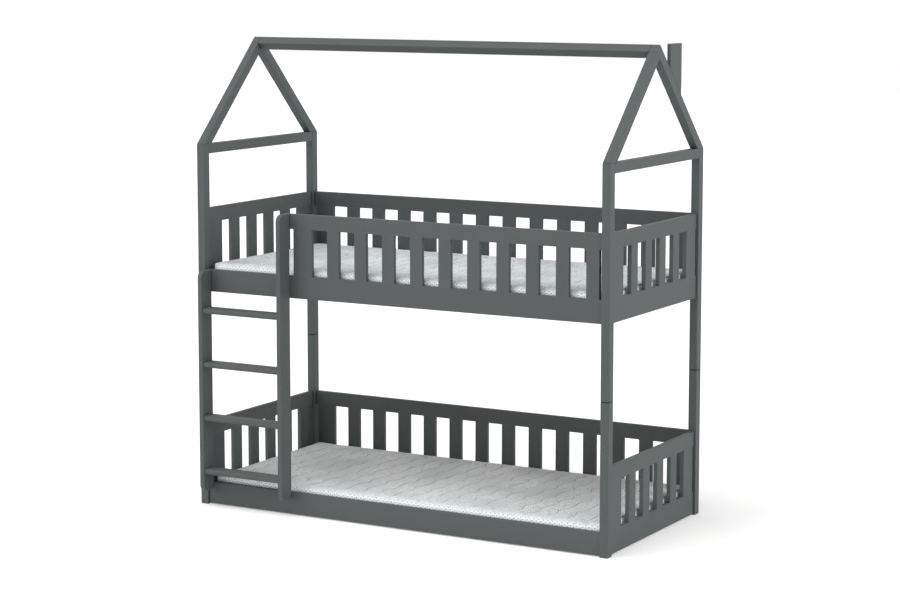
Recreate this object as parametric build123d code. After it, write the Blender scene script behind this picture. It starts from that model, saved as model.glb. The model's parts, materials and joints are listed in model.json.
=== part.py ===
from build123d import *

import math
import os

# House bunk bed for two mattresses, with a ladder at the front left. Sizes are in millimetres.
# +X points right and +Y to the back as seen from the front, +Z points up. The origin lies on the
# floor, in the middle of the bed's outline with its ladder.

# Mattresses, which set the length and width of the bed
MATTRESS_LENGTH = 1790.0
MATTRESS_WIDTH = 790.0
MATTRESS_HEIGHT = 80.0
MATTRESS_END_GAP = 18.5
MATTRESS_SHIFT = 8.0
MATTRESS_SIDE_GAP = 7.5
MATTRESS_EDGE_RADIUS = 14.0
MATTRESS_SIDE_DRAW = 3.0
MATTRESS_CROWN = 2.0
QUILT_PITCH = 77.0
QUILT_DEPTH = 3.0
COVER_THICKNESS = 6.0
SEAT_CLEARANCE = 0.3

# Posts and the heights of the bed
POST_X = 35.0
POST_Y = 40.0
FLOOR_GAP = 4.0
JOINT_ABOVE_LOWER_BED = 253.0
CLEAR_ABOVE_LOWER_BED = 548.0
CLEAR_ABOVE_UPPER_BED = 264.0
ARRIS = 2.5
SOFT_ARRIS = 1.0

# Slatted panels, the same boards at both beds
PANEL_THICKNESS = 18.0
BOTTOM_RAIL_HEIGHT = 92.0
SLOT_HEIGHT = 190.0
TOP_RAIL_HEIGHT = 61.0
SLAT_WIDTH = 59.0
GUARD_SLAT_WIDTH = 56.0
END_SLAT_WIDTH = 88.0
END_SLAT_GAP = 10.0
SLOT_WIDTH_WANTED = 72.0
TENON_THICKNESS = 10.0
TENON_LENGTH = 12.0
TENON_SHOULDER = 6.0
GLUE_GAP = 0.5

# Ladder
LADDER_THICKNESS = 20.0
LADDER_DEPTH = 71.5
LADDER_POST_GAP = 5.2
LADDER_CLEAR_WIDTH = 365.6
LADDER_BOTTOM_Z = 66.0
LADDER_CORNER_RADIUS = 30.0
RUNG_COUNT = 4
FIRST_RUNG_Z = 151.0
TOP_RUNG_BELOW_RAIL_TOP = 164.0
RUNG_HEIGHT = 24.0
RUNG_DEPTH = 62.0
RUNG_NOSE_RADIUS = 10.0
RUNG_BACK_GAP = 4.5
RUNG_HOUSING = 9.0

# Front guard of the upper bed
GUARD_FIRST_GAP = 17.5
GUARD_LAST_GAP = 12.0

# Roof
ROOF_SLOPE_DEG = 45.0
RAFTER_DEPTH = 40.0
TIE_HEIGHT = 40.0
APEX_RADIUS = 6.0
ROOF_ARRIS = 2.0
CHIMNEY_WIDTH = 105.0
CHIMNEY_THICKNESS = 15.0
CHIMNEY_FROM_RIDGE = 98.5

# Slat bases under the mattresses
LEDGER_WIDTH = 20.0
LEDGER_HEIGHT = 20.0
LEDGER_ABOVE_PANEL_FOOT = 1.0
LEDGER_END_GAP = 1.0
BED_SLAT_WIDTH = 60.0
BED_SLAT_THICKNESS = 15.0
BED_SLAT_END_GAP = 1.0
BED_SLAT_COUNT = 14
BED_SLAT_MARGIN = 30.0

# Fasteners
FIT = 0.1
POST_PIN_RADIUS = 5.0
POST_PIN_LENGTH = 80.0
DOWEL_RADIUS = 4.0
DOWEL_IN_POST = 13.0
DOWEL_IN_RAIL = 20.0
BOTTOM_DOWEL_INSET = 22.0
TOP_DOWEL_INSET = 16.0
TIE_DOWEL_SPACING = 20.0
RAFTER_DOWEL_INSET = 12.0
RAFTER_DOWEL_IN_RAFTER = 18.0
RAFTER_DOWEL_IN_POST = 30.0
RIDGE_DOWEL_SPACING = 22.0
RIDGE_DOWEL_IN_GABLE = 17.0
CHIMNEY_DOWEL_IN = 20.0
CHIMNEY_DOWEL_SHARES = (0.25, 0.7)
CAM_RADIUS = 7.5
CAM_DEPTH = 12.5
CAM_FROM_END = 34.0
CAM_SLOT_WIDTH = 2.0
CAM_SLOT_DEPTH = 1.5
CAM_BOLT_RADIUS = 3.0
SCREW_SHANK_RADIUS = 2.2
SCREW_HEAD_RADIUS = 4.5
SCREW_HEAD_HEIGHT = 2.8
SCREW_TIP = 5.0
SCREW_SOCKET_RADIUS = 1.8
SCREW_SOCKET_DEPTH = 1.8
LADDER_SCREW_LENGTH = 55.0
LADDER_SCREW_INSET = 11.0
LADDER_SCREW_SPACING = 23.0
LEDGER_SCREW_LENGTH = 32.0
SLAT_SCREW_LENGTH = 30.0

# Sizes and places worked out from the sizes above
SET_BACK = (POST_X - PANEL_THICKNESS) / 2
FRAME_LENGTH = MATTRESS_LENGTH + 2 * (MATTRESS_END_GAP + PANEL_THICKNESS + SET_BACK)
FRAME_WIDTH = MATTRESS_WIDTH + 2 * (MATTRESS_SIDE_GAP + PANEL_THICKNESS + SET_BACK)
LADDER_PROUD = LADDER_DEPTH - SET_BACK
MIDDLE_Y = LADDER_PROUD / 2
FRONT_Y = MIDDLE_Y - FRAME_WIDTH / 2
BACK_Y = MIDDLE_Y + FRAME_WIDTH / 2
RIGHT_X = FRAME_LENGTH / 2
LEFT_X = -RIGHT_X
CLEAR_LENGTH = FRAME_LENGTH - 2 * POST_X
CLEAR_WIDTH = FRAME_WIDTH - 2 * POST_Y
PANEL_HEIGHT = BOTTOM_RAIL_HEIGHT + SLOT_HEIGHT + TOP_RAIL_HEIGHT
RAIL_INNER_Y = SET_BACK + PANEL_THICKNESS
LOWER_PANEL_Z = FLOOR_GAP
POST_JOINT_Z = LOWER_PANEL_Z + PANEL_HEIGHT + JOINT_ABOVE_LOWER_BED
UPPER_PANEL_Z = LOWER_PANEL_Z + PANEL_HEIGHT + CLEAR_ABOVE_LOWER_BED
UPPER_RAIL_TOP_Z = UPPER_PANEL_Z + BOTTOM_RAIL_HEIGHT
GUARD_TOP_Z = UPPER_PANEL_Z + PANEL_HEIGHT
POST_TOP_Z = GUARD_TOP_Z + CLEAR_ABOVE_UPPER_BED
BED_LEVELS = {"lower": LOWER_PANEL_Z, "upper": UPPER_PANEL_Z}
LEDGER_TOP = LEDGER_ABOVE_PANEL_FOOT + LEDGER_HEIGHT
BED_SLAT_TOP = LEDGER_TOP + BED_SLAT_THICKNESS
SLOPE = math.radians(ROOF_SLOPE_DEG)
RIDGE_Z = POST_TOP_Z + FRAME_WIDTH / 2 * math.tan(SLOPE)
RIDGE_TOP_Z = RIDGE_Z - APEX_RADIUS * (1 / math.cos(SLOPE) - 1)
LADDER_LEFT_X = LEFT_X + POST_X + LADDER_POST_GAP
LADDER_RIGHT_X = LADDER_LEFT_X + LADDER_THICKNESS + LADDER_CLEAR_WIDTH
LADDER_BACK_Y = FRONT_Y + SET_BACK
LADDER_FRONT_Y = LADDER_BACK_Y - LADDER_DEPTH
RUNG_PITCH = (UPPER_RAIL_TOP_Z - TOP_RUNG_BELOW_RAIL_TOP - FIRST_RUNG_Z) / (RUNG_COUNT - 1)
LOW = (Align.MIN, Align.MIN, Align.MIN)
FOOT_FACE = 0
TOP_FACE = -1


def box_between(low, high):
    """A plain box between two corners."""
    size = high - low
    return Pos(low) * Box(size.X, size.Y, size.Z, align=LOW)


def arris_radius(size, wanted):
    """The wanted radius, or a third of a board's thinnest side where that is less."""
    return min(wanted, min(size.X, size.Y, size.Z) / 3)


def board(low, high, arris=ARRIS):
    """A straight board between two corners, with every arris rounded."""
    body = box_between(low, high)
    return fillet(body.edges(), arris_radius(high - low, arris))


def flush_board(low, high, sharp_face):
    """A board whose arrises are rounded but for those of its lowest or highest face."""
    body = box_between(low, high)
    sharp = body.faces().sort_by(Axis.Z)[sharp_face].edges()
    rounded = [edge for edge in body.edges() if edge not in sharp]
    return fillet(rounded, arris_radius(high - low, ARRIS))


def rod(start, end, radius):
    """A round rod between two points."""
    axis = end - start
    blank = Cylinder(radius, axis.length, align=(Align.CENTER, Align.CENTER, Align.MIN))
    return Plane(origin=start, z_dir=axis) * blank


def rod_hole(start, end, radius):
    """The hole that a rod sits in, a little larger all round."""
    step = (end - start).normalized() * FIT
    return rod(start - step, end + step, radius + FIT)


def screw_blank(length, extra):
    """A countersunk screw along +Z with its head at zero, grown by a clearance."""
    head = SCREW_HEAD_RADIUS + extra
    shank = SCREW_SHANK_RADIUS + extra
    outline = Polyline((0, 0), (head, 0), (shank, SCREW_HEAD_HEIGHT), (shank, length - SCREW_TIP),
                       (0, length + extra), close=True)
    return revolve(Plane.XZ * make_face(outline), Axis.Z)


def screw(head, direction, length):
    """A countersunk socket screw from the middle of its head towards its tip."""
    socket = extrude(RegularPolygon(SCREW_SOCKET_RADIUS, 6), SCREW_SOCKET_DEPTH)
    return Plane(origin=head, z_dir=direction) * (screw_blank(length, 0) - socket)


def screw_hole(head, direction, length):
    """The countersunk hole that a screw sits in."""
    return Plane(origin=head, z_dir=direction) * screw_blank(length, FIT)


def boxes_meet(one, two):
    """Whether two bounding boxes share any space."""
    return all(a < d and c < b for a, b, c, d in zip(one.min, one.max, two.min, two.max))


def drilled(body, holes):
    """The body without those holes that reach it."""
    space = body.bounding_box()
    near = [hole for hole in holes if boxes_meet(space, hole.bounding_box())]
    return body - near if near else body


class Panel:
    """One side of a bed, drawn along local X from its middle, with its outer face on local Y zero."""

    def __init__(self, name, place, length, base_z):
        self.name = name
        self.place = place
        self.length = length
        self.base_z = base_z
        self.top_rail_z = base_z + BOTTOM_RAIL_HEIGHT + SLOT_HEIGHT

    def bottom_rail(self, carries_slats=True):
        """The bottom rail, sharp at its top if slats stand flush on it."""
        low = Vector(-self.length / 2, 0, self.base_z)
        high = Vector(self.length / 2, PANEL_THICKNESS, self.base_z + BOTTOM_RAIL_HEIGHT)
        return flush_board(low, high, TOP_FACE) if carries_slats else board(low, high)

    def top_rail(self, start=None):
        """The top rail from start to the panel's end, sharp at its foot, where the slats meet it flush."""
        first = -self.length / 2 if start is None else start
        low = Vector(first, 0, self.top_rail_z)
        high = Vector(self.length / 2, PANEL_THICKNESS, self.top_rail_z + TOP_RAIL_HEIGHT)
        return flush_board(low, high, FOOT_FACE)

    def even_spans(self):
        """Wide slats at both ends with even slats between them, as pairs of X values."""
        first = -self.length / 2 + END_SLAT_GAP
        last = self.length / 2 - END_SLAT_GAP
        between = slats_between(first + END_SLAT_WIDTH, last - END_SLAT_WIDTH, SLAT_WIDTH)
        return [(first, first + END_SLAT_WIDTH)] + between + [(last - END_SLAT_WIDTH, last)]

    def slat(self, span):
        """An upright slat with a stub tenon at each end."""
        low_z = self.base_z + BOTTOM_RAIL_HEIGHT
        body = box_between(Vector(span[0], 0, low_z), Vector(span[1], PANEL_THICKNESS, self.top_rail_z))
        body = fillet(body.edges().filter_by(Axis.Z), min(ARRIS, PANEL_THICKNESS / 3))
        return body + self.tenon(span, 0)

    def tenon(self, span, extra):
        """The tenons of a slat as one block through it, grown by a glue gap at both ends."""
        cheek = (PANEL_THICKNESS - TENON_THICKNESS) / 2
        reach = TENON_LENGTH + extra
        low = Vector(span[0] + TENON_SHOULDER, cheek, self.base_z + BOTTOM_RAIL_HEIGHT - reach)
        high = Vector(span[1] - TENON_SHOULDER, cheek + TENON_THICKNESS, self.top_rail_z + reach)
        return box_between(low, high)

    def mortises(self, spans):
        """The room for the tenons of all slats."""
        return [self.place * self.tenon(span, GLUE_GAP) for span in spans]

    def dowel_ends(self, side):
        """The ends of the dowels at one end of the panel: side is -1 or 1."""
        depth = PANEL_THICKNESS / 2
        joint = side * self.length / 2
        heights = [self.base_z + BOTTOM_DOWEL_INSET, self.base_z + BOTTOM_RAIL_HEIGHT - BOTTOM_DOWEL_INSET]
        if self.name != "front":
            heights += self.top_dowel_heights()
        rail_end = joint - side * DOWEL_IN_RAIL
        post_end = joint + side * DOWEL_IN_POST
        return [(Vector(rail_end, depth, z), Vector(post_end, depth, z)) for z in heights]

    def top_dowel_heights(self):
        """The heights of the dowels in the ends of a top rail."""
        return [self.top_rail_z + TOP_DOWEL_INSET, self.top_rail_z + TOP_RAIL_HEIGHT - TOP_DOWEL_INSET]

    def cam_parts(self, side):
        """A cam, its bolt and the two holes for them at one end of the bottom rail."""
        joint = side * self.length / 2
        middle = Vector(joint - side * CAM_FROM_END, 0, self.base_z + BOTTOM_RAIL_HEIGHT / 2)
        front = middle + Vector(0, PANEL_THICKNESS - CAM_DEPTH, 0)
        back = middle + Vector(0, PANEL_THICKNESS, 0)
        axis = middle + Vector(0, PANEL_THICKNESS / 2, 0)
        tip = Vector(joint + side * DOWEL_IN_POST, axis.Y, axis.Z)
        slot_half = Vector(CAM_RADIUS / 2, CAM_SLOT_DEPTH, CAM_SLOT_WIDTH / 2)
        slot = box_between(back - slot_half, back + slot_half)
        bolt_hole = rod_hole(axis, tip, CAM_BOLT_RADIUS)
        cam = rod(front, back, CAM_RADIUS) - bolt_hole - slot
        cam_hole = rod_hole(front, back, CAM_RADIUS)
        return cam, rod(axis, tip, CAM_BOLT_RADIUS), [cam_hole, bolt_hole]


def slats_between(start, end, width):
    """Even slats of a width between two slats, with about the wanted gap, as pairs of X values."""
    slots = max(1, round((end - start + width) / (SLOT_WIDTH_WANTED + width)))
    gap = (end - start - (slots - 1) * width) / slots
    pitch = gap + width
    return [(start + gap + n * pitch, start + gap + n * pitch + width) for n in range(slots - 1)]


def panels_of(level):
    """The front, back, left and right panels of one bed."""
    base_z = BED_LEVELS[level]
    places = {
        "front": (Pos(0, FRONT_Y + SET_BACK, 0), CLEAR_LENGTH),
        "back": (Pos(0, BACK_Y - SET_BACK, 0) * Rot(0, 0, 180), CLEAR_LENGTH),
        "left": (Pos(LEFT_X + SET_BACK, MIDDLE_Y, 0) * Rot(0, 0, -90), CLEAR_WIDTH),
        "right": (Pos(RIGHT_X - SET_BACK, MIDDLE_Y, 0) * Rot(0, 0, 90), CLEAR_WIDTH),
    }
    return {name: Panel(name, place, length, base_z) for name, (place, length) in places.items()}


def posts():
    """The four posts, each in a lower and an upper length."""
    made = {}
    for side, x in (("left", LEFT_X), ("right", RIGHT_X - POST_X)):
        for face, y in (("front", FRONT_Y), ("back", BACK_Y - POST_Y)):
            foot = Vector(x, y, 0)
            joint = foot + Vector(POST_X, POST_Y, POST_JOINT_Z)
            top = foot + Vector(POST_X, POST_Y, POST_TOP_Z)
            made[f"lower_post_{face}_{side}"] = board(foot, joint)
            made[f"upper_post_{face}_{side}"] = board(foot + Vector(0, 0, POST_JOINT_Z), top)
    return made


def post_pins():
    """The pins that join the lower and upper posts, and their holes."""
    pins = []
    holes = []
    for x in (LEFT_X + POST_X / 2, RIGHT_X - POST_X / 2):
        for y in (FRONT_Y + POST_Y / 2, BACK_Y - POST_Y / 2):
            low = Vector(x, y, POST_JOINT_Z - POST_PIN_LENGTH / 2)
            high = Vector(x, y, POST_JOINT_Z + POST_PIN_LENGTH / 2)
            pins.append(rod(low, high, POST_PIN_RADIUS))
            holes.append(rod_hole(low, high, POST_PIN_RADIUS))
    return pins, holes


def guard_spans():
    """The upright slats of the front guard: a wide board by the ladder, then even slats."""
    first = LADDER_RIGHT_X + LADDER_THICKNESS + GUARD_FIRST_GAP
    last = CLEAR_LENGTH / 2 - GUARD_LAST_GAP
    between = slats_between(first + END_SLAT_WIDTH, last - GUARD_SLAT_WIDTH, GUARD_SLAT_WIDTH)
    return [(first, first + END_SLAT_WIDTH)] + between + [(last - GUARD_SLAT_WIDTH, last)]


def slatted_side(level, panel):
    """The two rails and the slats of a slatted side, with the mortises cut."""
    spans = panel.even_spans()
    mortises = panel.mortises(spans)
    name = f"{level}_{panel.name}"
    return {
        f"{name}_bottom_rail": drilled(panel.place * panel.bottom_rail(), mortises),
        f"{name}_top_rail": drilled(panel.place * panel.top_rail(), mortises),
        f"{name}_slats": [panel.place * panel.slat(span) for span in spans],
    }


def front_guard(panel):
    """The upper front rail, and the guard that stands on it from the ladder to the right post."""
    spans = guard_spans()
    mortises = panel.mortises(spans)
    return {
        "upper_front_rail": drilled(panel.place * panel.bottom_rail(), mortises),
        "guard_top_rail": drilled(panel.place * panel.top_rail(LADDER_RIGHT_X), mortises),
        "guard_slats": [panel.place * panel.slat(span) for span in spans],
    }


def panel_fasteners(panels):
    """The dowels, cams and cam bolts of some panels, and all their holes."""
    dowels, cams, bolts, holes = [], [], [], []
    for panel in panels:
        for side in (-1, 1):
            for start, end in panel.dowel_ends(side):
                dowels.append(panel.place * rod(start, end, DOWEL_RADIUS))
                holes.append(panel.place * rod_hole(start, end, DOWEL_RADIUS))
            cam, bolt, cam_holes = panel.cam_parts(side)
            cams.append(panel.place * cam)
            bolts.append(panel.place * bolt)
            holes.extend(panel.place * hole for hole in cam_holes)
    return dowels, cams, bolts, holes


def guard_dowels(panel):
    """The two dowels between the guard's top rail and the right post."""
    depth = PANEL_THICKNESS / 2
    joint = panel.length / 2
    ends = [(Vector(joint - DOWEL_IN_RAIL, depth, z), Vector(joint + DOWEL_IN_POST, depth, z))
            for z in panel.top_dowel_heights()]
    pins = [panel.place * rod(start, end, DOWEL_RADIUS) for start, end in ends]
    return pins, [panel.place * rod_hole(start, end, DOWEL_RADIUS) for start, end in ends]


def roof_point(y, below=0):
    """A point on the front slope at a distance from the ridge, moved down by a plumb amount."""
    return (MIDDLE_Y + y, RIDGE_Z - abs(y) * math.tan(SLOPE) - below)


def gable_prism(points, low_x, high_x):
    """A prism along X over an outline of Y and Z values."""
    face = make_face(Plane.YZ * Polyline(*points, close=True))
    return Pos(low_x, 0, 0) * extrude(face, high_x - low_x, dir=(1, 0, 0))


def rounded_bar(body, apex=False):
    """A roof bar with rounded arrises, and with the ridge's larger round where it has an apex."""
    if apex:
        ridge = body.edges().filter_by(Axis.X).sort_by(Axis.Z)[-1]
        body = fillet(ridge, APEX_RADIUS)
        flat = body.faces().filter_by(Axis.X)
        return fillet(flat.edges(), ROOF_ARRIS)
    return fillet(body.edges(), ROOF_ARRIS)


def rafters(low_x):
    """The front and back rafters of one gable, which starts at low_x."""
    high_x = low_x + POST_X
    half = FRAME_WIDTH / 2
    foot = RAFTER_DEPTH / math.sin(SLOPE)
    plumb = RAFTER_DEPTH / math.cos(SLOPE)
    butt = roof_point(-foot / 2)
    crotch = roof_point(0, plumb)
    front = [roof_point(-half), (MIDDLE_Y - half + foot, POST_TOP_Z), crotch, butt]
    back = [roof_point(half), (MIDDLE_Y + half - foot, POST_TOP_Z), butt, roof_point(0)]
    front_bar = rounded_bar(gable_prism(front, low_x, high_x))
    return front_bar, rounded_bar(gable_prism(back, low_x, high_x), apex=True)


def ridge_beam():
    """The ridge beam, whose four faces carry on the slopes and the rafters' undersides."""
    foot = RAFTER_DEPTH / math.sin(SLOPE)
    plumb = RAFTER_DEPTH / math.cos(SLOPE)
    outline = [roof_point(0), roof_point(-foot / 2), roof_point(0, plumb), roof_point(foot / 2)]
    body = gable_prism(outline, LEFT_X + POST_X, RIGHT_X - POST_X)
    lines = body.edges().filter_by(Axis.X).sort_by(Axis.Z)
    body = fillet(lines[-1], APEX_RADIUS)
    lines = body.edges().filter_by(Axis.X).sort_by(Axis.Z)[:-2]
    body = fillet(lines, ARRIS)
    ends = body.faces().filter_by(Axis.X)
    return fillet(ends.edges(), ROOF_ARRIS)


def chimney_board():
    """The flat chimney on the right back rafter, its foot cut to the slope."""
    near = CHIMNEY_FROM_RIDGE
    far = CHIMNEY_FROM_RIDGE + CHIMNEY_WIDTH
    top = [(MIDDLE_Y + far, RIDGE_TOP_Z), (MIDDLE_Y + near, RIDGE_TOP_Z)]
    outline = [roof_point(near), roof_point(far)] + top
    body = gable_prism(outline, RIGHT_X - CHIMNEY_THICKNESS, RIGHT_X)
    return fillet(body.edges(), SOFT_ARRIS)


def ties():
    """The tie across each end between the post tops."""
    made = {}
    for side, x in (("left", LEFT_X), ("right", RIGHT_X - POST_X)):
        low = Vector(x, FRONT_Y + POST_Y, POST_TOP_Z - TIE_HEIGHT)
        made[f"{side}_tie"] = board(low, low + Vector(POST_X, CLEAR_WIDTH, TIE_HEIGHT))
    return made


def tie_dowel_ends(middle_x):
    """The ends of the dowels of one tie."""
    ends = []
    z = POST_TOP_Z - TIE_HEIGHT / 2
    for x in (middle_x - TIE_DOWEL_SPACING / 2, middle_x + TIE_DOWEL_SPACING / 2):
        for y, side in ((FRONT_Y + POST_Y, -1), (BACK_Y - POST_Y, 1)):
            ends.append((Vector(x, y - side * DOWEL_IN_RAIL, z), Vector(x, y + side * DOWEL_IN_POST, z)))
    return ends


def rafter_dowel_ends(middle_x):
    """The ends of the dowels at the feet and at the apex of one pair of rafters."""
    up = Vector(0, 0, RAFTER_DOWEL_IN_RAFTER)
    down = Vector(0, 0, RAFTER_DOWEL_IN_POST)
    ends = []
    for y in (FRONT_Y + POST_Y - RAFTER_DOWEL_INSET, BACK_Y - POST_Y + RAFTER_DOWEL_INSET):
        foot = Vector(middle_x, y, POST_TOP_Z)
        ends.append((foot - down, foot + up))
    along = Vector(0, math.cos(SLOPE), math.sin(SLOPE))
    across = Vector(0, math.sin(SLOPE), -math.cos(SLOPE))
    butt_y, butt_z = roof_point(-RAFTER_DEPTH / math.sin(SLOPE) / 2)
    middle = Vector(middle_x, butt_y, butt_z) + across * (RAFTER_DEPTH / 2)
    ends.append((middle - along * DOWEL_IN_RAIL, middle + along * DOWEL_IN_POST))
    return ends


def ridge_dowel_ends():
    """The ends of the two dowels at each end of the ridge beam."""
    across = Vector(0, math.sin(SLOPE), -math.cos(SLOPE)) * (RIDGE_DOWEL_SPACING / 2)
    ends = []
    for joint, side in ((LEFT_X + POST_X, -1), (RIGHT_X - POST_X, 1)):
        middle_y, middle_z = roof_point(0, RAFTER_DEPTH / math.cos(SLOPE) / 2)
        middle = Vector(joint, middle_y, middle_z)
        for place in (middle - across, middle + across):
            ends.append((place - Vector(side * DOWEL_IN_RAIL, 0, 0),
                         place + Vector(side * RIDGE_DOWEL_IN_GABLE, 0, 0)))
    return ends


def chimney_dowel_ends():
    """The ends of the two dowels between the chimney and its rafter."""
    normal = Vector(0, math.sin(SLOPE), math.cos(SLOPE)) * CHIMNEY_DOWEL_IN
    ends = []
    for share in CHIMNEY_DOWEL_SHARES:
        y, z = roof_point(CHIMNEY_FROM_RIDGE + share * CHIMNEY_WIDTH)
        place = Vector(RIGHT_X - CHIMNEY_THICKNESS / 2, y, z)
        ends.append((place - normal, place + normal))
    return ends


def dowels_from(ends):
    """Dowels and their holes for pairs of end points."""
    return [rod(a, b, DOWEL_RADIUS) for a, b in ends], [rod_hole(a, b, DOWEL_RADIUS) for a, b in ends]


def ladder_upright(low_x, top_z):
    """A ladder upright, round at its foot and at its front top corner."""
    low = Vector(low_x, LADDER_FRONT_Y, LADDER_BOTTOM_Z)
    high = Vector(low_x + LADDER_THICKNESS, LADDER_BACK_Y, top_z)
    body = box_between(low, high)
    corners = body.edges().filter_by(Axis.X).sort_by(Axis.Z)
    front_top = corners[-2:].sort_by(Axis.Y)[0]
    radius = min(LADDER_CORNER_RADIUS, LADDER_DEPTH * 0.45)
    body = fillet([corners[0], corners[1], front_top], radius)
    sides = body.faces().filter_by(Axis.X)
    return fillet(sides.edges(), min(ARRIS, LADDER_THICKNESS / 3))


def rung_bar(z, extra):
    """A rung with round edges, housed in both uprights and grown by a clearance."""
    radius = min(RUNG_NOSE_RADIUS, RUNG_HEIGHT * 0.45)
    outline = RectangleRounded(RUNG_DEPTH + 2 * extra, RUNG_HEIGHT + 2 * extra, radius + extra)
    reach = RUNG_HOUSING + extra
    length = LADDER_CLEAR_WIDTH + 2 * reach
    start = LADDER_LEFT_X + LADDER_THICKNESS - reach
    middle_y = LADDER_BACK_Y - RUNG_BACK_GAP - RUNG_DEPTH / 2
    return Pos(start, middle_y, z) * extrude(Plane.YZ * outline, length, dir=(1, 0, 0))


def ladder():
    """The two uprights and the rungs between them."""
    heights = [FIRST_RUNG_Z + n * RUNG_PITCH for n in range(RUNG_COUNT)]
    housings = [rung_bar(z, FIT) for z in heights]
    made = {
        "ladder_left_upright": drilled(ladder_upright(LADDER_LEFT_X, UPPER_RAIL_TOP_Z), housings),
        "ladder_right_upright": drilled(ladder_upright(LADDER_RIGHT_X, GUARD_TOP_Z), housings),
    }
    for number, z in enumerate(heights, start=1):
        made[f"ladder_rung_{number}"] = rung_bar(z, 0)
    return made


def ladder_screw_heads():
    """The middles of the heads of the screws that hold the ladder, on the rails' inner faces."""
    y = LADDER_BACK_Y + PANEL_THICKNESS
    left = LADDER_LEFT_X + LADDER_THICKNESS / 2
    right = LADDER_RIGHT_X + LADDER_THICKNESS / 2
    foot_z = LOWER_PANEL_Z + BOTTOM_RAIL_HEIGHT - LADDER_SCREW_INSET
    rail_z = UPPER_RAIL_TOP_Z - LADDER_SCREW_INSET
    guard_z = GUARD_TOP_Z - TOP_RAIL_HEIGHT / 2
    heights = [foot_z, rail_z - LADDER_SCREW_SPACING, rail_z]
    heads = [Vector(x, y, z) for x in (left, right) for z in heights]
    return heads + [Vector(right, y, guard_z)]


def ledgers(level):
    """The two ledgers of one bed, screwed to the front and back rails."""
    top_z = BED_LEVELS[level] + LEDGER_TOP
    half = CLEAR_LENGTH / 2 - LEDGER_END_GAP
    made = []
    for near in (FRONT_Y + RAIL_INNER_Y, BACK_Y - RAIL_INNER_Y - LEDGER_WIDTH):
        low = Vector(-half, near, top_z - LEDGER_HEIGHT)
        made.append(board(low, Vector(half, near + LEDGER_WIDTH, top_z), SOFT_ARRIS))
    return made


def bed_slat_middles():
    """The X values of the middles of the bed slats."""
    reach = CLEAR_LENGTH / 2 - BED_SLAT_MARGIN - BED_SLAT_WIDTH / 2
    pitch = 2 * reach / (BED_SLAT_COUNT - 1)
    return [-reach + n * pitch for n in range(BED_SLAT_COUNT)]


def ledger_screws(level):
    """Heads and directions of the screws through the ledgers of one bed, in every second slat gap."""
    z = BED_LEVELS[level] + LEDGER_TOP - LEDGER_HEIGHT / 2
    middles = bed_slat_middles()
    found = []
    for first, second in zip(middles[::2], middles[1::2]):
        x = (first + second) / 2
        found.append((Vector(x, FRONT_Y + RAIL_INNER_Y + LEDGER_WIDTH, z), Vector(0, -1, 0)))
        found.append((Vector(x, BACK_Y - RAIL_INNER_Y - LEDGER_WIDTH, z), Vector(0, 1, 0)))
    return found


def bed_slats(level):
    """The crosswise slats of one bed."""
    top_z = BED_LEVELS[level] + BED_SLAT_TOP
    front = FRONT_Y + RAIL_INNER_Y + BED_SLAT_END_GAP
    back = BACK_Y - RAIL_INNER_Y - BED_SLAT_END_GAP
    made = []
    for x in bed_slat_middles():
        low = Vector(x - BED_SLAT_WIDTH / 2, front, top_z - BED_SLAT_THICKNESS)
        made.append(board(low, Vector(x + BED_SLAT_WIDTH / 2, back, top_z)))
    return made


def bed_slat_screws(level):
    """Heads and directions of the screws at the ends of the bed slats."""
    z = BED_LEVELS[level] + BED_SLAT_TOP
    rows = (FRONT_Y + RAIL_INNER_Y + LEDGER_WIDTH / 2, BACK_Y - RAIL_INNER_Y - LEDGER_WIDTH / 2)
    return [(Vector(x, y, z), Vector(0, 0, -1)) for x in bed_slat_middles() for y in rows]


def quilted_length_body(half_length, half_width):
    """The mattress seen from the front: side walls drawn in, and a top of shallow sewn channels."""
    channels = max(1, round(2 * half_length / QUILT_PITCH))
    pitch = 2 * half_length / channels
    seam = MATTRESS_HEIGHT - QUILT_DEPTH
    lines = [Line((half_length, seam), (half_length, 0)), Line((half_length, 0), (-half_length, 0)),
             Line((-half_length, 0), (-half_length, seam))]
    for n in range(channels):
        left = -half_length + n * pitch
        lines.append(ThreePointArc((left, seam), (left + pitch / 2, MATTRESS_HEIGHT), (left + pitch, seam)))
    return extrude(Plane.XZ * make_face(lines), half_width, both=True)


def side_outline(half):
    """The right side of a cross-section: drawn in at its rounded edges and bulged between them."""
    radius = MATTRESS_EDGE_RADIUS
    top = MATTRESS_HEIGHT - MATTRESS_CROWN
    inner = half - MATTRESS_SIDE_DRAW
    return [
        ThreePointArc((half - radius, 0), (inner - radius / 4, radius / 4), (inner, radius)),
        ThreePointArc((inner, radius), (half, top / 2), (inner, top - radius)),
        ThreePointArc((inner, top - radius), (inner - radius / 4, top - radius / 4), (half - radius, top)),
    ]


def profile_face(half):
    """The closed cross-section: flat underneath, with both sides and a crowned top."""
    right = side_outline(half)
    left = [mirror(edge, about=Plane.YZ) for edge in right]
    reach = half - MATTRESS_EDGE_RADIUS
    edge_z = MATTRESS_HEIGHT - MATTRESS_CROWN
    flat = Line((-reach, 0), (reach, 0))
    crown = ThreePointArc((-reach, edge_z), (0, MATTRESS_HEIGHT), (reach, edge_z))
    return make_face(right + left + [flat, crown])


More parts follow.
